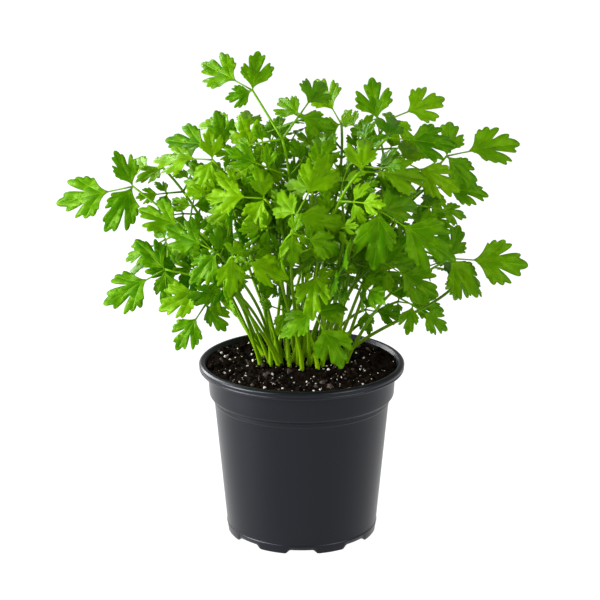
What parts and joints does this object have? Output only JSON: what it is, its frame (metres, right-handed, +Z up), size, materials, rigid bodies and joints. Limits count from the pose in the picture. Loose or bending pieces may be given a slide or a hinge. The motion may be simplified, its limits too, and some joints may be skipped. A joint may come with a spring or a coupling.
{
  "type": "potted parsley",
  "caption": "Leafy flat-leaf parsley plant with long stalks and cut leaflets, growing in soil in a tapered round nursery pot with a rolled rim.",
  "frame": {"origin": "middle of the flat pad under the pot, at the height of the surface the pot stands on", "axes": "+Z up along the pot's axis, -Y towards the viewer of the picture, +X to the viewer's right"},
  "size_m": [0.3859, 0.234, 0.3982],
  "materials": {
    "pot_plastic": "satin moulded",
    "potting_soil": "damp and crumbly",
    "parsley_leaf": "soft satin leaf"
  },
  "bodies": {
    "root": {"pot": "pot_plastic", "soil": "potting_soil", "leaf_01": "parsley_leaf", "leaf_02": "parsley_leaf", "leaf_03": "parsley_leaf", "leaf_04": "parsley_leaf", "leaf_05": "parsley_leaf", "leaf_06": "parsley_leaf", "leaf_07": "parsley_leaf", "leaf_08": "parsley_leaf", "leaf_09": "parsley_leaf", "leaf_10": "parsley_leaf", "leaf_11": "parsley_leaf", "leaf_12": "parsley_leaf", "leaf_13": "parsley_leaf", "leaf_14": "parsley_leaf", "leaf_15": "parsley_leaf", "leaf_16": "parsley_leaf", "leaf_17": "parsley_leaf", "leaf_18": "parsley_leaf", "leaf_19": "parsley_leaf", "leaf_20": "parsley_leaf", "leaf_21": "parsley_leaf", "leaf_22": "parsley_leaf", "leaf_23": "parsley_leaf", "leaf_24": "parsley_leaf", "leaf_25": "parsley_leaf", "leaf_26": "parsley_leaf", "leaf_27": "parsley_leaf", "leaf_28": "parsley_leaf", "leaf_29": "parsley_leaf", "leaf_30": "parsley_leaf", "leaf_31": "parsley_leaf", "leaf_32": "parsley_leaf", "leaf_33": "parsley_leaf", "leaf_34": "parsley_leaf", "leaf_35": "parsley_leaf", "leaf_36": "parsley_leaf", "leaf_37": "parsley_leaf", "leaf_38": "parsley_leaf", "leaf_39": "parsley_leaf", "leaf_40": "parsley_leaf", "leaf_41": "parsley_leaf", "leaf_42": "parsley_leaf", "leaf_43": "parsley_leaf", "leaf_44": "parsley_leaf", "leaf_45": "parsley_leaf", "leaf_46": "parsley_leaf", "leaf_47": "parsley_leaf", "leaf_48": "parsley_leaf", "leaf_49": "parsley_leaf"}
  },
  "joints": []
}
